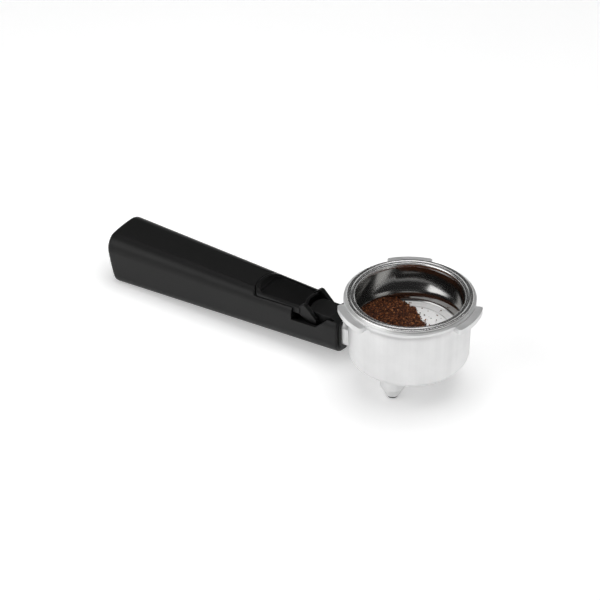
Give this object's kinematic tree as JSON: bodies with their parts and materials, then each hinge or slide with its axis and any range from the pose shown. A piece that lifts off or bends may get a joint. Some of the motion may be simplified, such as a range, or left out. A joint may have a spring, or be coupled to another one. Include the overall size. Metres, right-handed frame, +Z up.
{
  "type": "espresso portafilter",
  "caption": "Portafilter with a bayonet filter cup, spout under it, lift-out filter basket, tapered handle and flip-over thumb lever.",
  "frame": {"origin": "on the cup's axis, at the height of the cup's rim", "axes": "+Z up along the cup's axis, +X out along the handle, XZ is the plane of symmetry"},
  "size_m": [0.2004, 0.0668, 0.0488],
  "materials": {
    "cast_aluminium": "fine matt",
    "stainless": "polished sheet",
    "handle_plastic": "satin",
    "lever_plastic": "satin",
    "insert_plastic": "smooth",
    "seal_rubber": "matt",
    "fastener_steel": "zinc plated"
  },
  "bodies": {
    "holder": {"filter_cup": "cast_aluminium", "spout_seal": "seal_rubber", "spout_block": "cast_aluminium", "screw_seal": "seal_rubber", "spout_screw": "fastener_steel", "nozzle_sleeve_left": "insert_plastic", "nozzle_sleeve_right": "insert_plastic", "handle_collar": "handle_plastic", "handle_shell": "handle_plastic", "hinge_block": "handle_plastic", "handle_bolt": "fastener_steel", "flat_washer": "fastener_steel", "spring_washer": "fastener_steel", "end_cap": "handle_plastic", "lever_pin": "fastener_steel"},
    "lever": {"thumb_lever": "lever_plastic"},
    "basket": {"filter_basket": "stainless", "froth_gasket": "seal_rubber", "froth_disc": "stainless", "froth_cap": "insert_plastic"}
  },
  "joints": [
    {"name": "lever_hinge", "type": "hinge", "parent": "holder", "child": "lever", "pos_m": [0.048, 0, -0.0266], "axis": [0, -1, 0], "range_deg": [0, 99]},
    {"name": "basket_lift", "type": "slide", "parent": "holder", "child": "basket", "axis": [0, 0, 1], "range_m": [0, 0.045]}
  ]
}
